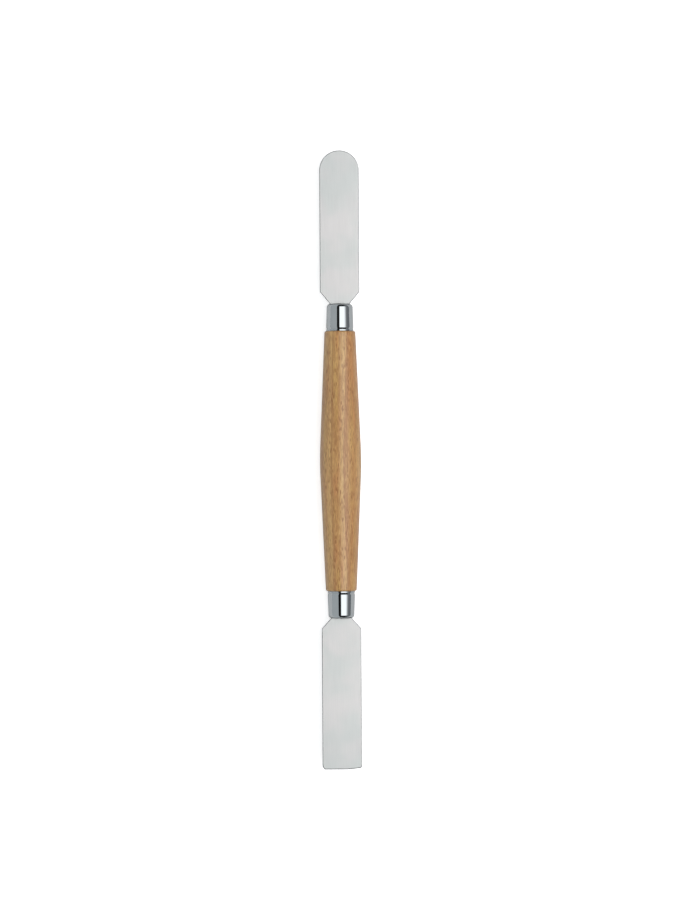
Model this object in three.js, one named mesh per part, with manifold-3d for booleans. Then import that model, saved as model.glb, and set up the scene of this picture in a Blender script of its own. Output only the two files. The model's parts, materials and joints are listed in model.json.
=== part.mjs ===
// Double-ended palette knife: a turned beech handle with a flexible spring-steel blade at each end.
//
// It lies with its length along Y. The round-tipped blade points to +Y and the square-tipped one to -Y,
// and the blades' flat faces look up and down. Units are millimetres and +Z is up. The origin is the
// middle of the bounding box's base, under the handle's crown.
//
// Each end is built in a frame of its own, with its origin where the blade leaves the ferrule's nose
// and its +Y pointing out to the blade's tip. The parts on the handle's side of the nose have y < 0.

import * as THREE from 'three';
import { mergeVertices } from 'three/addons/utils/BufferGeometryUtils.js';
import Module from 'manifold-3d';

const wasm = await Module();
wasm.setup();

// ---------------------------------------------------------------- driving dimensions

const overallLength = 240;

// handle: two cones that meet in a soft crown
const crownDiameter = 16;
const handleEndDiameter = 12;
const crownHalfLength = 6;
const handleEdgeRadius = 0.6;

// ferrule: a drawn cap that narrows towards its nose, with a rolled lip and a crease above it at the wood
const ferruleLength = 10.9;
const ferruleBaseDiameter = 10.6;
const ferruleNoseDiameter = 10.1;
const ferruleWall = 0.4;
const noseRadius = 1.5;
const noseRise = 0.25;
const lipHeight = 0.65;
const lipEdgeRadius = 0.12;
const crease = { length: 0.85, depth: 0.24 };

// blade: one stamped strip, wide outside the ferrule and narrow inside it
const bladeWidth = 15.3;
const bladeThickness = 0.6;
const shoulderRadius = 1.0;
const tangWidth = 5.0;
const tangLength = 23;
const tangPoint = 1.5;

// socket bored in the handle for the tang
const socketDiameter = 6.4;
const socketBeyondTang = 1.5;

// the room that two fitted parts leave between them, and the gap where the blade starts to bend
const fitGap = 0.1;
const bendGap = 0.3;

// facets round every turned part, with a flat one facing straight down
const facets = 32;

// what differs between the two ends
const roundEnd = {
  name: 'round',
  bladeLength: 59.2,
  rootWidth: 8.1,
  shoulderLength: 4.3,
  tipOutline: roundTip,
};
const squareEnd = {
  name: 'square',
  bladeLength: 58.3,
  rootWidth: 8.7,
  shoulderLength: 3.7,
  tipOutline: squareTip,
};

// the square tip's end edge: one corner cut back, the other rounded where the edge rises to it
const cutCorner = { width: 0.85, length: 1.6 };
const edgeRise = { start: 1.5, height: 0.45, radius: 0.8 };

// ---------------------------------------------------------------- derived places

const axisHeight = crownDiameter / 2;
const roundNoseY = overallLength / 2 - roundEnd.bladeLength;
const squareNoseY = -overallLength / 2 + squareEnd.bladeLength;
const roundShoulderY = roundNoseY - ferruleLength;
const squareShoulderY = squareNoseY + ferruleLength;
const handleLength = roundShoulderY - squareShoulderY;
const handleMiddleY = (roundShoulderY + squareShoulderY) / 2;

// ---------------------------------------------------------------- materials

const beech = () => new THREE.MeshStandardMaterial({ color: 0xb89164, roughness: 0.55, metalness: 0 });
const chrome = () => new THREE.MeshStandardMaterial({ color: 0xc9cdd0, roughness: 0.08, metalness: 1 });
const springSteel = () => new THREE.MeshStandardMaterial({ color: 0xd2d5d4, roughness: 0.3, metalness: 1 });
const resin = () => new THREE.MeshStandardMaterial({ color: 0xcdb98a, roughness: 0.4, metalness: 0 });

// ---------------------------------------------------------------- solids

// Points on an arc of a circle, in the (radius, y) plane of a turned profile or the (x, y) plane of a blade.
function arc(centreX, centreY, radius, startDegrees, endDegrees, steps) {
  return Array.from({ length: steps + 1 }, (_, i) => {
    const angle = THREE.MathUtils.degToRad(startDegrees + ((endDegrees - startDegrees) * i) / steps);
    return new THREE.Vector2(centreX + radius * Math.cos(angle), centreY + radius * Math.sin(angle));
  });
}

// Turns a profile round Y. The facets touch the true circle, so a flat at the bottom lies at full radius.
function turned(profile) {
  const facetAngle = (2 * Math.PI) / facets;
  const outward = 1 / Math.cos(facetAngle / 2);
  const points = profile.map((p) => new THREE.Vector2(p.x * outward, p.y));
  return new THREE.LatheGeometry(points, facets, facetAngle / 2);
}

function toSolid(geometry) {
  const bare = geometry.clone();
  bare.deleteAttribute('normal');
  bare.deleteAttribute('uv');
  const merged = mergeVertices(bare);
  const vertProperties = new Float32Array(merged.attributes.position.array);
  const triVerts = new Uint32Array(merged.index.array);
  return new wasm.Manifold(new wasm.Mesh({ numProp: 3, vertProperties, triVerts }));
}

function toGeometry(solid) {
  const mesh = solid.getMesh();
  const geometry = new THREE.BufferGeometry();
  geometry.setAttribute('position', new THREE.BufferAttribute(new Float32Array(mesh.vertProperties), 3));
  geometry.setIndex(new THREE.BufferAttribute(new Uint32Array(mesh.triVerts), 1));
  return geometry;
}

function cut(geometry, tool) {
  return toGeometry(toSolid(geometry).subtract(toSolid(tool)));
}

// A flat plate cut to an outline in the XY plane, with its mid-plane at z = 0.
function plate(outline) {
  const geometry = new THREE.ExtrudeGeometry(new THREE.Shape(outline), {
    depth: bladeThickness,
    bevelEnabled: false,
  });
  return geometry.translate(0, 0, -bladeThickness / 2);
}

// The space that a strip of the blade's thickness passes through, from one y to another.
function stripSpace(width, fromY, toY) {
  const height = bladeThickness + 2 * fitGap;
  return new THREE.BoxGeometry(width, toY - fromY, height).translate(0, (fromY + toY) / 2, 0);
}

function part(name, geometry, material) {
  const mesh = new THREE.Mesh(geometry, material);
  mesh.name = name;
  return mesh;
}

// ---------------------------------------------------------------- handle

// One end of the handle's profile, from the bottom of the socket, over the spigot that fills the ferrule,
// to the rounded edge of the shoulder that the ferrule stands on. The shoulder is at y = 0.
function handleEndProfile() {
  const spigotBase = ferruleBaseDiameter / 2 - ferruleWall - fitGap;
  const spigotTip = ferruleNoseDiameter / 2 - ferruleWall - fitGap;
  const spigotLength = ferruleLength - ferruleWall - noseRise - 2 * fitGap;
  const spigotEdge = noseRadius - ferruleWall - fitGap;
  const socketDepth = tangLength + socketBeyondTang - ferruleLength;
  const socket = socketDiameter / 2;
  const rim = handleEdgeRadius;
  return [
    new THREE.Vector2(0, -socketDepth),
    new THREE.Vector2(socket, -socketDepth),
    new THREE.Vector2(socket, spigotLength),
    ...arc(spigotTip - spigotEdge, spigotLength - spigotEdge, spigotEdge, 90, 0, 3),
    new THREE.Vector2(spigotBase, 0),
    ...arc(handleEndDiameter / 2 - rim, -rim, rim, 90, 0, 3),
  ];
}

// The crown is a parabola that runs smoothly into the two cones. It has an odd number of steps, so that
// the middle one is level, at the full diameter, and the handle has something flat to lie on.
function crownProfile() {
  const steps = 3;
  const levelHalf = crownHalfLength / steps;
  const slope = (crownDiameter - handleEndDiameter) / (handleLength - crownHalfLength);
  return Array.from({ length: steps + 1 }, (_, i) => {
    const y = (2 * i - steps) * levelHalf;
    const drop = (slope * (y * y - levelHalf * levelHalf)) / (2 * crownHalfLength);
    return new THREE.Vector2(crownDiameter / 2 - drop, handleMiddleY + y);
  });
}

function handle() {
  const lower = handleEndProfile().map((p) => new THREE.Vector2(p.x, squareShoulderY - p.y));
  const upper = handleEndProfile().map((p) => new THREE.Vector2(p.x, roundShoulderY + p.y));
  return turned([...lower, ...crownProfile(), ...upper.reverse()]);
}

// ---------------------------------------------------------------- ferrule

// A closed loop: up the outside from the lip to the nose, and down the inside. The nose rises a little
// to its middle, where the blade comes out.
function ferruleProfile() {
  const base = -ferruleLength + fitGap;
  const outerBase = ferruleBaseDiameter / 2;
  const innerBase = outerBase - ferruleWall;
  const lipX = outerBase - lipEdgeRadius;
  const creaseStart = base + lipHeight;
  const cornerX = ferruleNoseDiameter / 2 - noseRadius;
  const cornerY = -noseRise - noseRadius;
  return [
    new THREE.Vector2(innerBase, base),
    ...arc(lipX, base + lipEdgeRadius, lipEdgeRadius, -90, 0, 2),
    ...arc(lipX, creaseStart - lipEdgeRadius, lipEdgeRadius, 0, 90, 2),
    new THREE.Vector2(outerBase - crease.depth, creaseStart),
    new THREE.Vector2(outerBase, creaseStart + crease.length),
    ...arc(cornerX, cornerY, noseRadius, 0, 90, 5),
    new THREE.Vector2(0, 0),
    new THREE.Vector2(0, -ferruleWall),
    ...arc(cornerX, cornerY, noseRadius - ferruleWall, 90, 0, 4),
    new THREE.Vector2(innerBase, base),
  ];
}

// The cap, with a slot through its nose that is as wide as the blade's root.
function ferrule(end) {
  return cut(turned(ferruleProfile()), stripSpace(end.rootWidth, -ferruleLength / 2, 1));
}

// ---------------------------------------------------------------- blade and tang

function roundTip(end) {
  const radius = bladeWidth / 2;
  return arc(0, end.bladeLength - radius, radius, 0, 180, 24);
}

function squareTip(end) {
  const half = bladeWidth / 2;
  const tip = end.bladeLength;
  const corner = edgeRise.radius;
  return [
    new THREE.Vector2(half, tip - cutCorner.length),
    new THREE.Vector2(half - cutCorner.width, tip),
    new THREE.Vector2(-edgeRise.start, tip),
    ...arc(-half + corner, tip - edgeRise.height - corner, corner, 95, 180, 4),
  ];
}

// Half of the blade's width at a place on its straight, slanting shoulders. The root is at y = 0.
function shoulderX(end, y) {
  const root = end.rootWidth / 2;
  return root + ((bladeWidth / 2 - root) * y) / end.shoulderLength;
}

// The shoulders run out from the ferrule's nose, and round over into the straight sides.
function bladeOutline(end) {
  const start = shoulderX(end, bendGap / 2);
  const half = bladeWidth / 2;
  const lean = THREE.MathUtils.radToDeg(Math.atan2(half - end.rootWidth / 2, end.shoulderLength));
  const turn = shoulderRadius * Math.tan(THREE.MathUtils.degToRad(lean / 2));
  const shoulder = arc(half - shoulderRadius, end.shoulderLength + turn, shoulderRadius, -lean, 0, 3);
  const mirrored = shoulder.map((p) => new THREE.Vector2(-p.x, p.y)).reverse();
  return [
    new THREE.Vector2(start, bendGap / 2),
    ...shoulder,
    ...end.tipOutline(end),
    ...mirrored,
    new THREE.Vector2(-start, bendGap / 2),
  ];
}

// The tang is the blade's own narrow end, shown as a part of its own because only the blade bends. The
// shoulders go on into the slot, where they stop against the spigot, and the tang runs on from there.
function tangOutline(end) {
  const half = tangWidth / 2;
  const stop = -ferruleWall - noseRise - fitGap;
  return [
    new THREE.Vector2(shoulderX(end, -bendGap / 2), -bendGap / 2),
    new THREE.Vector2(-shoulderX(end, -bendGap / 2), -bendGap / 2),
    new THREE.Vector2(-shoulderX(end, stop), stop),
    new THREE.Vector2(-half, stop),
    new THREE.Vector2(-half, -tangLength + tangPoint),
    new THREE.Vector2(-half + tangPoint, -tangLength),
    new THREE.Vector2(half - tangPoint, -tangLength),
    new THREE.Vector2(half, -tangLength + tangPoint),
    new THREE.Vector2(half, stop),
    new THREE.Vector2(shoulderX(end, stop), stop),
  ];
}

// ---------------------------------------------------------------- adhesive

// What sets round the tang: it fills the socket up to the inside of the ferrule's nose.
function adhesive() {
  const radius = socketDiameter / 2 - fitGap;
  const top = -ferruleWall - noseRise - 3 * fitGap;
  const bottom = -tangLength - socketBeyondTang + fitGap;
  const filling = turned([
    new THREE.Vector2(0, bottom),
    new THREE.Vector2(radius, bottom),
    new THREE.Vector2(radius, top),
    new THREE.Vector2(0, top),
  ]);
  return cut(filling, stripSpace(tangWidth + 2 * fitGap, -tangLength - fitGap, 0));
}

// ---------------------------------------------------------------- assembly

function knifeEnd(end) {
  const group = new THREE.Group();
  group.add(
    part(`${end.name}_blade`, plate(bladeOutline(end)), springSteel()),
    part(`${end.name}_blade_tang`, plate(tangOutline(end)), springSteel()),
    part(`${end.name}_ferrule`, ferrule(end), chrome()),
    part(`${end.name}_tang_adhesive`, adhesive(), resin()),
  );
  return group;
}

const roundGroup = knifeEnd(roundEnd);
roundGroup.position.y = roundNoseY;

const squareGroup = knifeEnd(squareEnd);
squareGroup.position.y = squareNoseY;
squareGroup.rotation.z = Math.PI;

const knife = new THREE.Group();
knife.position.z = axisHeight;
knife.add(part('handle', handle(), beech()), roundGroup, squareGroup);

export default knife;
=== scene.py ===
"""Looks of the double-ended palette knife: turned beech handle, chromed ferrules, spring-steel blades.

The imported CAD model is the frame. The knife lies along Y, with its round-tipped blade at +Y, and the
blades' faces look up and down. Lengths are in metres, written as a number of millimetres times MM.
"""

import json
import math

import bmesh
import bpy
from mathutils import Matrix, Vector


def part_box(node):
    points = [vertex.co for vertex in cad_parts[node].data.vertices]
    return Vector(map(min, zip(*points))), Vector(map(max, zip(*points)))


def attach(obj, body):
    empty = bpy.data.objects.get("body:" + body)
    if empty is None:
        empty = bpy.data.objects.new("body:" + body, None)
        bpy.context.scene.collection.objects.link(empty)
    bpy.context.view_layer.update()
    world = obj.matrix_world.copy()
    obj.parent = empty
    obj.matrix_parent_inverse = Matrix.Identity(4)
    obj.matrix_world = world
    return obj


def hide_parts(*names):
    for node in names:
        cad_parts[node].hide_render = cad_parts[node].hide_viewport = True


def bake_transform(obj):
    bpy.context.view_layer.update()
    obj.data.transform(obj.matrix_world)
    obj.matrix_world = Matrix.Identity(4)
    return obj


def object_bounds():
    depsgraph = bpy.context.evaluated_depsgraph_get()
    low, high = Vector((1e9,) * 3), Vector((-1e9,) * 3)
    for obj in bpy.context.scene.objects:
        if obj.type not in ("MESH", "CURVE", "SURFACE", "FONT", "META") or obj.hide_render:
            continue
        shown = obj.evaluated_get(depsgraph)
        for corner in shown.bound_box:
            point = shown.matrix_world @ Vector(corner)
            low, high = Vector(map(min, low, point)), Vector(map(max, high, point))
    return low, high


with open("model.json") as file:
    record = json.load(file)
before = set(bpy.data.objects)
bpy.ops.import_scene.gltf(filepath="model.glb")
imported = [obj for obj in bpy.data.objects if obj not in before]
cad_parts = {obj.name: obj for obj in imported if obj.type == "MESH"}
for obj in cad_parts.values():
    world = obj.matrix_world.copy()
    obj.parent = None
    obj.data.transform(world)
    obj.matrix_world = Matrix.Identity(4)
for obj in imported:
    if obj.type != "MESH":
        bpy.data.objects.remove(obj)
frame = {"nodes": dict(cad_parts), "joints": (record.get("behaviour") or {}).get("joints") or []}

CAD_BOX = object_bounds()
MM = 0.001

# ------------------------------------------------------------------ sizes

HANDLE_END_RADIUS = 6 * MM
HANDLE_EDGE = 0.6 * MM
CROWN_HALF_LENGTH = 6 * MM
SOCKET_RADIUS = 3.2 * MM
SOCKET_BEYOND_TANG = 1.5 * MM

FERRULE_BASE_RADIUS = 5.3 * MM
FERRULE_NOSE_RADIUS = 5.05 * MM
FERRULE_WALL = 0.4 * MM
NOSE_ROUNDING = 1.5 * MM
NOSE_DOME = 0.25 * MM
LIP_HEIGHT = 0.65 * MM
LIP_EDGE = 0.12 * MM
CREASE_LENGTH = 0.85 * MM
CREASE_DEPTH = 0.24 * MM
FIT_GAP = 0.1 * MM

SHOULDER_ROUNDING = 1.0 * MM
BLADE_EDGE = 0.26 * MM
TANG_HALF_WIDTH = 2.5 * MM
TANG_LENGTH = 23 * MM
TANG_POINT = 1.5 * MM
CUT_CORNER = (0.85 * MM, 1.6 * MM)
EDGE_RISE = 0.45 * MM
EDGE_RISE_START = 1.5 * MM
EDGE_RISE_ROUNDING = 0.8 * MM
EDGE_RISE_CURVE = 1.3

TURNED_SEGMENTS = 160
BEND_CUTS = 72
# Lengths below this count as nothing.
TINY = 1e-7


# ------------------------------------------------------------------ the two ends

class End:
    """One end of the knife, in a frame of its own: origin at the ferrule's nose, +Y out to the tip."""

    def __init__(self, name, side, root_half_width, shoulder_length):
        self.name = name
        self.side = side
        self.root_half_width = root_half_width
        self.shoulder_length = shoulder_length
        joint = next(j for j in frame["joints"] if j["name"] == name + "_blade_flex")
        self.nose = Vector(joint["pos_m"])
        low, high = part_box(name + "_blade")
        self.tip = high.y if side > 0 else low.y
        self.blade_length = abs(self.tip - self.nose.y)
        self.blade_half_width = (high.x - low.x) / 2
        self.thickness = high.z - low.z
        low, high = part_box(name + "_ferrule")
        base = low.y if side > 0 else high.y
        self.ferrule_length = abs(self.nose.y - base) + FIT_GAP
        self.shoulder_y = self.nose.y - side * self.ferrule_length

    def matrix(self):
        turn = Matrix.Rotation(0 if self.side > 0 else math.pi, 4, "Z")
        return Matrix.Translation(self.nose) @ turn


ROUND = End("round", 1, 4.05 * MM, 4.3 * MM)
SQUARE = End("square", -1, 4.35 * MM, 3.7 * MM)
AXIS = Vector((0, 0, ROUND.nose.z))


# ------------------------------------------------------------------ outlines and meshes

def arc(centre, radius, start, end, steps):
    """Points on an arc, from one angle to another in degrees."""
    angles = [math.radians(start + (end - start) * i / steps) for i in range(steps + 1)]
    return [(centre[0] + radius * math.cos(a), centre[1] + radius * math.sin(a)) for a in angles]


def add_object(name, mesh, material):
    mesh.materials.append(material)
    piece = bpy.data.objects.new(name, mesh)
    bpy.context.scene.collection.objects.link(piece)
    return piece


def smooth_but_for_corners(mesh, corner_degrees=32):
    mesh.shade_smooth()
    mesh.set_sharp_from_angle(angle=math.radians(corner_degrees))


def turned_mesh(name, profile, closed):
    """Turns (radius, y) points round the Y axis. Points on the axis become one vertex."""
    form = bmesh.new()
    rings = []
    for radius, y in profile:
        if radius < TINY:
            rings.append([form.verts.new((0, y, 0))] * TURNED_SEGMENTS)
            continue
        ring = []
        for i in range(TURNED_SEGMENTS):
            angle = 2 * math.pi * i / TURNED_SEGMENTS
            ring.append(form.verts.new((radius * math.sin(angle), y, radius * math.cos(angle))))
        rings.append(ring)
    pairs = list(zip(rings, rings[1:]))
    if closed:
        pairs.append((rings[-1], rings[0]))
    for lower, upper in pairs:
        for i in range(TURNED_SEGMENTS):
            k = (i + 1) % TURNED_SEGMENTS
            corners = dict.fromkeys([lower[i], lower[k], upper[k], upper[i]])
            if len(corners) > 2:
                form.faces.new(corners)
    bmesh.ops.recalc_face_normals(form, faces=form.faces)
    mesh = bpy.data.meshes.new(name)
    form.to_mesh(mesh)
    form.free()
    return mesh


def cut_away(piece, low, high):
    """Cuts a box out of a piece and applies the cut."""
    form = bmesh.new()
    centre, size = (low + high) / 2, high - low
    box = Matrix.Translation(centre) @ Matrix.Diagonal((*size, 1))
    bmesh.ops.create_cube(form, size=1, matrix=box)
    tool_mesh = bpy.data.meshes.new("cutting_box")
    form.to_mesh(tool_mesh)
    form.free()
    tool = bpy.data.objects.new("cutting_box", tool_mesh)
    bpy.context.scene.collection.objects.link(tool)
    cut = piece.modifiers.new("cut", "BOOLEAN")
    cut.operation = "DIFFERENCE"
    cut.solver = "EXACT"
    cut.object = tool
    bpy.context.view_layer.update()
    graph = bpy.context.evaluated_depsgraph_get()
    result = bpy.data.meshes.new_from_object(piece.evaluated_get(graph))
    piece.modifiers.clear()
    piece.data = result
    bpy.data.objects.remove(tool)


# ------------------------------------------------------------------ handle

def handle_end_profile(end):
    """From the bottom of the socket to the rounded edge, with y counted outwards from the handle's end."""
    base = FERRULE_BASE_RADIUS - FERRULE_WALL - FIT_GAP
    tip = FERRULE_NOSE_RADIUS - FERRULE_WALL - FIT_GAP
    spigot = end.ferrule_length - FERRULE_WALL - NOSE_DOME - 2 * FIT_GAP
    depth = TANG_LENGTH + SOCKET_BEYOND_TANG - end.ferrule_length
    edge = NOSE_ROUNDING - FERRULE_WALL - FIT_GAP
    return [
        (0, -depth),
        (SOCKET_RADIUS, -depth),
        (SOCKET_RADIUS, spigot),
        *arc((tip - edge, spigot - edge), edge, 90, 0, 8),
        (base, 0),
        *arc((HANDLE_END_RADIUS - HANDLE_EDGE, -HANDLE_EDGE), HANDLE_EDGE, 90, 0, 10),
    ]


def crown_radius(offset, length, crown):
    """The handle's radius at a distance from its middle: a cone, rounded by a parabola at the crown."""
    slope = (crown - HANDLE_END_RADIUS) / ((length - CROWN_HALF_LENGTH) / 2)
    distance = abs(offset)
    if distance < CROWN_HALF_LENGTH:
        return crown - slope * distance**2 / (2 * CROWN_HALF_LENGTH)
    return crown - slope * (distance - CROWN_HALF_LENGTH / 2)


def handle_profile():
    low, high = SQUARE.shoulder_y, ROUND.shoulder_y
    middle, length = (low + high) / 2, high - low
    crown = AXIS.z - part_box("handle")[0].z
    steps = 48
    half = length / 2 - HANDLE_EDGE
    offsets = [half * (2 * i / steps - 1) for i in range(1, steps)]
    return [
        *[(r, low - y) for r, y in handle_end_profile(SQUARE)],
        *[(crown_radius(o, length, crown), middle + o) for o in offsets],
        *[(r, high + y) for r, y in reversed(handle_end_profile(ROUND))],
    ]


def make_handle(material):
    mesh = turned_mesh("beech_handle", handle_profile(), closed=False)
    mesh.transform(Matrix.Translation(AXIS))
    smooth_but_for_corners(mesh)
    piece = add_object("beech_handle", mesh, material)
    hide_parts("handle")
    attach(piece, "handle_assembly")


# ------------------------------------------------------------------ ferrules

def dome_arc(edge_radius, centre_y, height, steps):
    """The shallow dome of the nose, from its edge to the axis."""
    sphere = (edge_radius**2 + height**2) / (2 * height)
    reach = math.asin(edge_radius / sphere)
    angles = [reach * (1 - i / steps) for i in range(steps + 1)]
    return [(sphere * math.sin(a), centre_y - sphere * (1 - math.cos(a))) for a in angles]


def crease_depth(along):
    """The crease's depth at a share of its length: a cone that eases out into the ferrule's side."""
    straight = 0.7
    ease = 1 - straight
    slope = CREASE_DEPTH / (straight + ease / 2)
    if along < straight:
        return CREASE_DEPTH - slope * along
    return slope * (1 - along) ** 2 / (2 * ease)


def lip_and_crease(base):
    """The rolled lip, nearly flat with rounded edges, and the crease that runs smoothly out of it."""
    lip_x = FERRULE_BASE_RADIUS - LIP_EDGE
    lip_top = base + LIP_HEIGHT
    steps = 10
    crease = [(FERRULE_BASE_RADIUS - crease_depth(i / steps), lip_top + CREASE_LENGTH * i / steps)
              for i in range(steps + 1)]
    return [
        *arc((lip_x, base + LIP_EDGE), LIP_EDGE, -90, 0, 4),
        *arc((lip_x, lip_top - LIP_EDGE), LIP_EDGE, 0, 90, 4),
        *crease,
    ]


def ferrule_profile(end):
    """A closed loop: up the outside from the lip to the nose, and down the inside."""
    base = -end.ferrule_length + FIT_GAP / 2
    face_edge = FERRULE_NOSE_RADIUS - NOSE_ROUNDING
    corner = (face_edge, -NOSE_DOME - NOSE_ROUNDING)
    inside_base = FERRULE_BASE_RADIUS - FERRULE_WALL
    dome_angle = 86
    return [
        *lip_and_crease(base),
        *arc(corner, NOSE_ROUNDING, 0, dome_angle, 14),
        *dome_arc(face_edge, 0, NOSE_DOME, 8),
        *reversed(dome_arc(face_edge, -FERRULE_WALL, NOSE_DOME, 8)),
        *arc(corner, NOSE_ROUNDING - FERRULE_WALL, dome_angle, 0, 10),
        (inside_base, base),
    ]


def make_ferrule(end, material):
    name = end.name + "_ferrule_cap"
    mesh = turned_mesh(name, ferrule_profile(end), closed=True)
    piece = add_object(name, mesh, material)
    half_slot = Vector((end.root_half_width, 0, end.thickness / 2 + FIT_GAP))
    inner = Vector((0, -end.ferrule_length / 2, 0))
    beyond_nose = Vector((0, 1 * MM, 0))
    cut_away(piece, inner - half_slot, half_slot + beyond_nose)
    piece.data.transform(end.matrix())
    smooth_but_for_corners(piece.data)
    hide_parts(end.name + "_ferrule")
    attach(piece, "handle_assembly")


# ------------------------------------------------------------------ blades

def round_tip(end):
    radius = end.blade_half_width
    return arc((0, end.blade_length - radius), radius, 0, 180, 72)


def square_tip(end):
    """One corner is cut back, and the edge rises gently to the other, which is rounded."""
    half, tip = end.blade_half_width, end.blade_length
    cut_width, cut_length = CUT_CORNER
    # halfway along the cut, the outline is in from the blade's side by this share of the cut's width
    inset_halfway = 0.25
    rise_width = half - EDGE_RISE_ROUNDING - EDGE_RISE_START
    steps = 8
    rise = [(-EDGE_RISE_START - rise_width * i / steps,
             tip - EDGE_RISE * (i / steps) ** EDGE_RISE_CURVE)
            for i in range(steps)]
    corner = (-half + EDGE_RISE_ROUNDING, tip - EDGE_RISE - EDGE_RISE_ROUNDING)
    edge_angle = 98
    return [
        (half, tip - cut_length),
        (half - cut_width * inset_halfway, tip - cut_length / 2),
        (half - cut_width, tip),
        *rise,
        *arc(corner, EDGE_RISE_ROUNDING, edge_angle, 180, 8),
    ]


def blade_outline(end, tip):
    """Half of the tang, a shoulder that goes on into the slot, the tip, and the same mirrored."""
    half, root = end.blade_half_width, end.root_half_width
    spread = (half - root) / end.shoulder_length
    lean = math.degrees(math.atan(spread))
    turn = SHOULDER_ROUNDING * math.tan(math.radians(lean / 2))
    shoulder = (half - SHOULDER_ROUNDING, end.shoulder_length + turn)
    stop = -FERRULE_WALL - NOSE_DOME - FIT_GAP
    right = [
        (TANG_HALF_WIDTH - TANG_POINT, -TANG_LENGTH),
        (TANG_HALF_WIDTH, -TANG_LENGTH + TANG_POINT),
        (TANG_HALF_WIDTH, stop),
        (root + spread * stop, stop),
        *arc(shoulder, SHOULDER_ROUNDING, -lean, 0, 8),
    ]
    left = [(-x, y) for x, y in reversed(right)]
    return [*right, *tip(end), *left]


def blade_mesh(name, end, outline):
    """A plate with softened edges, cut across at short steps so that it can bend."""
    form = bmesh.new()
    bottom = [form.verts.new((x, y, -end.thickness / 2)) for x, y in outline]
    face = form.faces.new(bottom)
    top = bmesh.ops.extrude_face_region(form, geom=[face])["geom"]
    top_verts = [v for v in top if isinstance(v, bmesh.types.BMVert)]
    bmesh.ops.translate(form, verts=top_verts, vec=(0, 0, end.thickness))
    bmesh.ops.recalc_face_normals(form, faces=form.faces)
    rims = [e for e in form.edges if abs(e.verts[0].co.z - e.verts[1].co.z) < TINY]
    bmesh.ops.bevel(form, geom=rims, offset=BLADE_EDGE, segments=3, profile=0.5, affect="EDGES")
    for i in range(1, BEND_CUTS):
        y = end.blade_length * i / BEND_CUTS
        everything = [*form.verts, *form.edges, *form.faces]
        bmesh.ops.bisect_plane(form, geom=everything, plane_co=(0, y, 0), plane_no=(0, 1, 0))
    form.normal_update()
    nearly_flat = 0.99
    for face in form.faces:
        face.material_index = 0 if abs(face.normal.z) > nearly_flat else 1
    mesh = bpy.data.meshes.new(name)
    form.to_mesh(mesh)
    form.free()
    return mesh


def make_blade(end, tip, face_material, edge_material):
    name = end.name + "_spring_blade"
    mesh = blade_mesh(name, end, blade_outline(end, tip))
    mesh.transform(end.matrix())
    smooth_but_for_corners(mesh, corner_degrees=70)
    piece = add_object(name, mesh, face_material)
    mesh.materials.append(edge_material)
    weighted = piece.modifiers.new("flat_faces", "WEIGHTED_NORMAL")
    weighted.keep_sharp = True
    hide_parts(end.name + "_blade", end.name + "_blade_tang")
    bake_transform(piece)


# ------------------------------------------------------------------ node trees

class Tree:
    """Short calls for building a node tree."""

    def __init__(self, owner):
        owner.use_nodes = True
        self.nodes = owner.node_tree.nodes
        self.links = owner.node_tree.links
        self.nodes.clear()

    def add(self, kind, inputs=None, **settings):
        node = self.nodes.new(kind)
        for key, value in settings.items():
            setattr(node, key, value)
        for key, value in (inputs or {}).items():
            self.set(node.inputs[key], value)
        return node

    def set(self, socket, value):
        if isinstance(value, bpy.types.NodeSocket):
            self.links.new(value, socket)
        else:
            socket.default_value = value

    def math(self, operation, *values, clamp=False):
        node = self.add("ShaderNodeMath", operation=operation, use_clamp=clamp)
        for i, value in enumerate(values):
            self.set(node.inputs[i], value)
        return node.outputs[0]

    def scaled(self, vector, scale):
        node = self.add("ShaderNodeVectorMath", {0: vector, 1: scale}, operation="MULTIPLY")
        return node.outputs[0]

    def noise(self, vector, scale, detail=2.0, roughness=0.5, distortion=0.0):
        inputs = {"Vector": vector, "Scale": scale, "Detail": detail,
                  "Roughness": roughness, "Distortion": distortion}
        return self.add("ShaderNodeTexNoise", inputs).outputs["Fac"]

    def band(self, value, start, end, low=0.0, high=1.0):
        """Runs smoothly from low at start to high at end, and stays level outside them."""
        inputs = {"Value": value, "From Min": start, "From Max": end, "To Min": low, "To Max": high}
        node = self.add("ShaderNodeMapRange", inputs, interpolation_type="SMOOTHSTEP", clamp=True)
        return node.outputs["Result"]

    def window(self, value, low, high, soft):
        """1 between low and high, 0 outside, with soft edges."""
        rise = self.band(value, low - soft, low + soft)
        fall = self.band(value, high - soft, high + soft, 1.0, 0.0)
        return self.math("MULTIPLY", rise, fall)

    def mix(self, factor, first, second, blend="MIX"):
        """Two colours mixed. A Mix node's colour sockets come after those for numbers and vectors."""
        node = self.add("ShaderNodeMix", data_type="RGBA", blend_type=blend)
        self.set(node.inputs[0], factor)
        self.set(node.inputs[6], first)
        self.set(node.inputs[7], second)
        return node.outputs[2]

    def place(self):
        """The point on the piece, in metres."""
        return self.add("ShaderNodeTexCoord").outputs["Object"]

    def bump(self, height, distance, strength=1.0):
        inputs = {"Height": height, "Distance": distance, "Strength": strength}
        return self.add("ShaderNodeBump", inputs).outputs["Normal"]

    def finish(self, inputs):
        """Ends a material in a Principled surface."""
        surface = self.add("ShaderNodeBsdfPrincipled", inputs)
        self.add("ShaderNodeOutputMaterial", {"Surface": surface.outputs[0]})


def new_material(name):
    material = bpy.data.materials.new(name)
    return material, Tree(material)


def srgb(red, green, blue):
    """A colour given as it looks on screen, 0 to 255, as the linear one that a shader needs."""
    linear = [((c / 255 + 0.055) / 1.055) ** 2.4 for c in (red, green, blue)]
    return (*linear, 1.0)


# ------------------------------------------------------------------ materials

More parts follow.
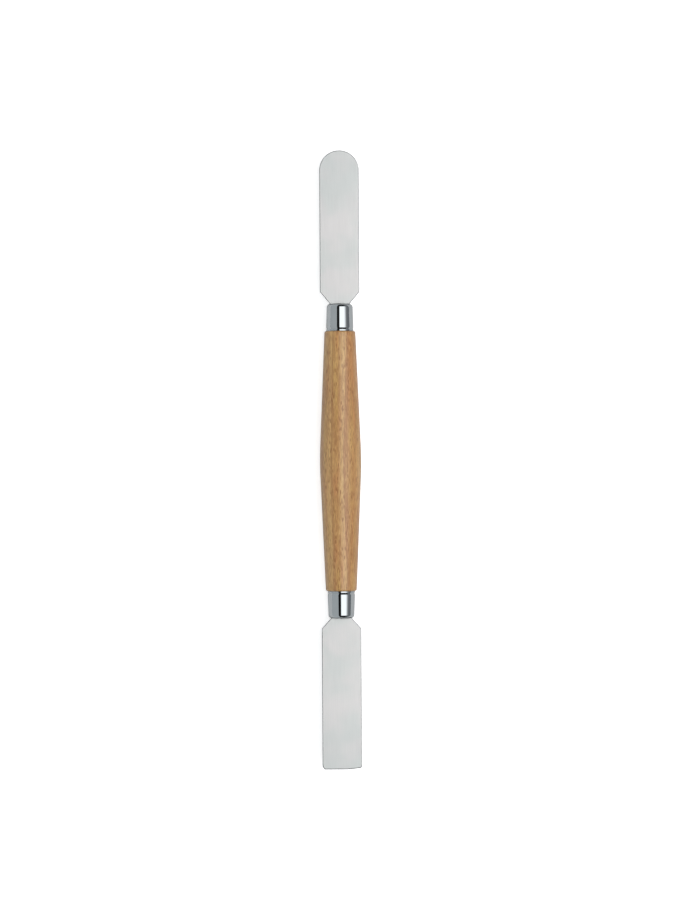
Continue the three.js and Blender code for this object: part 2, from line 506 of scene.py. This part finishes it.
# Growth rings in the wood: planes along the handle, leaning by this much sideways for each step up.
RING_SPACING = 5.4 * MM
RING_START = 1.1 * MM
RING_LEAN = 0.5
RING_WANDER = 1.6 * MM


def growth_ring(t, place, drift):
    """How far across its growth ring a point is, 0 to 1. The rings drift slowly along the handle."""
    split = t.add("ShaderNodeSeparateXYZ", {0: place})
    across = t.math("ADD", split.outputs["X"], t.math("MULTIPLY", split.outputs["Z"], RING_LEAN))
    wandering = t.math("ADD", across, t.math("MULTIPLY", drift, RING_WANDER))
    return t.math("FRACT", t.math("DIVIDE", t.math("ADD", wandering, RING_START), RING_SPACING))


def beech_material():
    """Straight-grained beech: growth rings, fine fibres, short brown ray flecks and a clear oil."""
    material, t = new_material("beech")
    place = t.place()

    def grain(width, length, detail=2.0, roughness=0.5):
        """Noise in streaks along the handle, each about so wide and so long, in millimetres."""
        return t.noise(t.scaled(place, (1.0, width / length, 1.0)), 1 / (width * MM), detail, roughness)

    broad, hue, streaks = grain(3.5, 45), grain(2, 24), grain(0.8, 14, 3.0, 0.6)
    fibres, strands = grain(0.3, 3, 3.0, 0.6), grain(0.45, 30, 2.0)
    colour = t.mix(t.band(broad, 0.4, 0.6), srgb(192, 140, 81), srgb(208, 162, 97))
    colour = t.mix(t.band(hue, 0.52, 0.66, 0.0, 0.6), colour, srgb(200, 135, 80))
    colour = t.mix(t.band(hue, 0.34, 0.48, 0.4, 0.0), colour, srgb(201, 161, 84))

    ring = growth_ring(t, place, grain(9, 80, 1.0))
    late_wood = t.math("MULTIPLY", t.band(ring, 0.02, 0.3, 0.65, 0.0), t.band(ring, 0.0, 0.02))
    colour = t.mix(late_wood, colour, srgb(170, 118, 68))
    colour = t.mix(t.band(ring, 0.55, 0.95, 0.0, 0.5), colour, srgb(224, 184, 120))

    colour = t.mix(t.band(streaks, 0.4, 0.68, 0.0, 0.32), colour, srgb(168, 116, 66))
    colour = t.mix(t.band(strands, 0.45, 0.65, 0.0, 0.25), colour, srgb(164, 114, 64))
    colour = t.mix(t.band(fibres, 0.45, 0.66, 0.0, 0.6), colour, srgb(152, 102, 54))
    colour = t.mix(t.band(fibres, 0.3, 0.45, 0.4, 0.0), colour, srgb(230, 192, 126))

    stretched = t.scaled(place, (1.0, 0.28, 1.0))
    flecks = t.add("ShaderNodeTexVoronoi", {"Vector": stretched, "Scale": 1250.0})
    present = t.band(grain(1.6, 7), 0.42, 0.54)
    fleck = t.math("MULTIPLY", t.band(flecks.outputs["Distance"], 0.16, 0.4, 1.0, 0.0), present)
    colour = t.mix(t.math("MULTIPLY", fleck, 0.7), colour, srgb(144, 88, 36))

    height = t.math("SUBTRACT", t.math("MULTIPLY", fibres, 0.5), t.math("MULTIPLY", fleck, 0.5))
    t.finish({
        "Base Color": colour,
        "Roughness": t.band(fibres, 0.3, 0.7, 0.42, 0.56),
        "Specular IOR Level": 0.5,
        "Normal": t.bump(height, 0.04 * MM, 0.6),
        "Coat Weight": 1.0,
        "Coat Roughness": 0.38,
    })
    return material


def chrome_material():
    """Bright plate with the faint haze and fine rubbing marks of handling."""
    material, t = new_material("chrome_plate")
    place = t.place()
    haze = t.noise(place, 260, detail=3)
    rubbing = t.noise(t.scaled(place, (1.0, 8.0, 1.0)), 900, detail=2)
    t.finish({
        "Base Color": t.mix(haze, srgb(190, 195, 198), srgb(201, 205, 207)),
        "Metallic": 1.0,
        "Roughness": t.band(haze, 0.35, 0.7, 0.025, 0.06),
        "Normal": t.bump(rubbing, 0.002 * MM, 0.3),
    })
    return material


# How much of each blade is painted darker towards its tip, a painted shade for its dimmer reflection, and
# how dark at the tip.
PAINTED_TIP_SHADE_LENGTH = 30 * MM
PAINTED_TIP_SHADE = 0.32
# How far the painted dark reflection on the square tip's cut end reaches back, and over how much of that
# it fades.
PAINTED_END_REFLECTION_LENGTH = 1.8 * MM
PAINTED_END_REFLECTION_FADE = 0.36 * MM


def steel_material():
    """Satin spring steel, ground lengthwise, with slow changes of tone and painted shade darkening it
    towards the tips.
    """
    material, t = new_material("spring_steel")
    place = t.place()
    grinding = t.noise(t.scaled(place, (1.0, 0.02, 1.0)), 5200, detail=3, roughness=0.6)
    patches = t.noise(place, 70, detail=2)
    colour = t.mix(t.band(patches, 0.35, 0.65), srgb(216, 218, 216), srgb(225, 222, 221))
    from_middle = t.math("ABSOLUTE", t.add("ShaderNodeSeparateXYZ", {0: place}).outputs["Y"])
    # Painted shade: the faces are painted darker towards both tips, for their dimmer reflection there.
    painted_tip_shade = t.band(from_middle, ROUND.tip - PAINTED_TIP_SHADE_LENGTH, ROUND.tip, 0.0, PAINTED_TIP_SHADE)
    colour = t.mix(painted_tip_shade, colour, srgb(198, 202, 202))
    t.finish({
        "Base Color": t.mix(t.band(grinding, 0.2, 0.8, 0.0, 0.12), colour, srgb(180, 180, 180)),
        "Metallic": 1.0,
        "Roughness": t.band(grinding, 0.2, 0.8, 0.28, 0.36),
        "Normal": t.bump(grinding, 0.004 * MM, 0.4),
    })
    return material


def edge_marks_and_painted_reflection_material():
    """The blade's edges with the fine marks the press left, their steel painted darker than the faces as a
    painted dark reflection. The square tip's cut end is painted darker still, also a painted dark
    reflection.
    """
    material, t = new_material("edge_marks_and_painted_reflection")
    place = t.place()
    marks = t.noise(t.scaled(place, (1.0, 1.0, 0.15)), 4200, detail=2)
    # Painted dark reflection: the edge steel is painted darker than the blade's faces; the marks vary it.
    colour = t.mix(marks, srgb(155, 156, 157), srgb(186, 187, 187))
    along = t.add("ShaderNodeSeparateXYZ", {0: place}).outputs["Y"]
    # Painted dark reflection: the edge at the square tip's cut end is painted much darker.
    reach = SQUARE.tip + PAINTED_END_REFLECTION_LENGTH
    painted_end_reflection = t.band(along, reach - PAINTED_END_REFLECTION_FADE, reach, 1.0, 0.0)
    t.finish({
        "Base Color": t.mix(painted_end_reflection, colour, srgb(84, 85, 88)),
        "Metallic": 1.0,
        "Roughness": t.band(marks, 0.3, 0.7, 0.18, 0.3),
        "Normal": t.bump(marks, 0.01 * MM, 0.4),
    })
    return material


def resin_material():
    """Set amber epoxy with small trapped bubbles."""
    material, t = new_material("set_resin")
    place = t.place()
    clouds = t.noise(place, 500, detail=3)
    bubbles = t.add("ShaderNodeTexVoronoi", {"Vector": place, "Scale": 1600.0}).outputs["Distance"]
    t.finish({
        "Base Color": t.mix(clouds, srgb(196, 160, 96), srgb(222, 194, 136)),
        "Roughness": t.band(bubbles, 0.1, 0.4, 0.55, 0.3),
        "Normal": t.bump(bubbles, 0.05 * MM, 0.4),
    })
    return material


def dress_cad_node(node, material):
    piece = frame["nodes"][node]
    piece.data.materials.clear()
    piece.data.materials.append(material)


# ------------------------------------------------------------------ studio

# Where things stand round the knife, as it sees them: in degrees across, from straight up towards +X,
# and along, to either side of straight up. The floor hides what is past 90.
SOFTBOX_ACROSS = (-2, 50)
SOFTBOX_ALONG = 24
BLACK_FRAME_ACROSS = (-25, 60)
BLACK_FRAME_ALONG = 76
DARK_SIDE = (60, 110)
# How soft the softbox's near and far edges are, in degrees to either side.
NEAR_EDGE_BLUR = 4
FAR_EDGE_BLUR = 16


def make_world():
    """A pale room, a softbox overhead in a black frame, and a darker side to the right."""
    world = bpy.data.worlds.new("studio")
    bpy.context.scene.world = world
    t = Tree(world)
    direction = t.add("ShaderNodeTexCoord").outputs["Generated"]
    split = t.add("ShaderNodeSeparateXYZ", {0: direction})
    x, y, z = (split.outputs[axis] for axis in "XYZ")
    across = t.math("DEGREES", t.math("ARCTAN2", x, z))
    along = t.math("DEGREES", t.math("ARCSINE", y))
    near, far = SOFTBOX_ACROSS
    near_edge = t.band(across, near - NEAR_EDGE_BLUR, near + NEAR_EDGE_BLUR)
    far_edge = t.band(across, far - FAR_EDGE_BLUR, far + FAR_EDGE_BLUR, 1.0, 0.0)
    soft = t.math("MULTIPLY", t.math("MULTIPLY", near_edge, far_edge),
                  t.window(along, -SOFTBOX_ALONG, SOFTBOX_ALONG, 7.0))
    frame_mask = t.math("MULTIPLY", t.window(across, *BLACK_FRAME_ACROSS, 1.5),
                        t.window(along, -BLACK_FRAME_ALONG, BLACK_FRAME_ALONG, 6.0))
    side = t.window(across, *DARK_SIDE, 3.0)

    room = t.mix(side, (0.52, 0.55, 0.56, 1), (0.21, 0.22, 0.23, 1))
    framed = t.mix(frame_mask, room, (0.01, 0.011, 0.011, 1))
    lit = t.mix(soft, framed, (1.74, 1.77, 1.78, 1))
    seen = t.add("ShaderNodeLightPath").outputs["Is Camera Ray"]
    colour = t.mix(seen, lit, (1.0, 1.0, 1.0, 1))
    background = t.add("ShaderNodeBackground", {"Color": colour, "Strength": 1.0})
    t.add("ShaderNodeOutputWorld", {"Surface": background.outputs[0]})


def make_key_light():
    """A broad light from above and a little to the right. Metal doesn't mirror it."""
    data = bpy.data.lights.new("key_light", "SUN")
    data.energy, data.angle = 1.3, math.radians(70)
    light = bpy.data.objects.new("key_light", data)
    light.rotation_euler = (0, math.radians(28), 0)
    light.visible_glossy = False
    bpy.context.scene.collection.objects.link(light)


def make_floor():
    """A large pale floor under the knife."""
    half = 40.0
    form = bmesh.new()
    corners = [(-half, -half, 0), (half, -half, 0), (half, half, 0), (-half, half, 0)]
    form.faces.new([form.verts.new(c) for c in corners])
    mesh = bpy.data.meshes.new("floor")
    form.to_mesh(mesh)
    form.free()
    material, t = new_material("pale_floor")
    seen = t.add("ShaderNodeLightPath").outputs["Is Camera Ray"]
    t.finish({
        "Base Color": (0.72, 0.72, 0.72, 1),
        "Roughness": 0.9,
        "Specular IOR Level": 0.1,
        "Emission Color": (1, 1, 1, 1),
        "Emission Strength": t.math("MULTIPLY", seen, 0.7),
    })
    add_object("floor", mesh, material)


# The knife's length as a share of the picture's height, how many degrees the camera is turned about its
# view, and how far it stands to the side of the middle and along from it.
LENGTH_SHARE = 0.6727
CAMERA_ROLL = 0.33
CAMERA_OFFSET = (-0.23 * MM, -0.06 * MM)


def make_camera():
    """Looks straight down on the blades through a long lens."""
    data = bpy.data.cameras.new("camera")
    data.lens, data.sensor_width = 200, 36
    camera = bpy.data.objects.new("camera", data)
    bpy.context.scene.collection.objects.link(camera)
    length = CAD_BOX[1].y - CAD_BOX[0].y
    view_height = length / LENGTH_SHARE
    height = view_height * data.lens / data.sensor_width
    camera.location = (*CAMERA_OFFSET, AXIS.z + height)
    camera.rotation_euler = (0, 0, math.radians(-CAMERA_ROLL))
    data.clip_start, data.clip_end = 0.1, 100
    bpy.context.scene.camera = camera


# ------------------------------------------------------------------ assembly

make_camera()
make_world()
make_key_light()
make_floor()

chrome = chrome_material()
steel = steel_material()
# The blade edges' material holds a painted dark reflection.
edge_with_painted_reflection = edge_marks_and_painted_reflection_material()
resin = resin_material()
make_handle(beech_material())
for knife_end, blade_tip in ((ROUND, round_tip), (SQUARE, square_tip)):
    make_ferrule(knife_end, chrome)
    make_blade(knife_end, blade_tip, steel, edge_with_painted_reflection)
    dress_cad_node(knife_end.name + "_tang_adhesive", resin)

scene = bpy.context.scene
scene.view_settings.view_transform = "Standard"
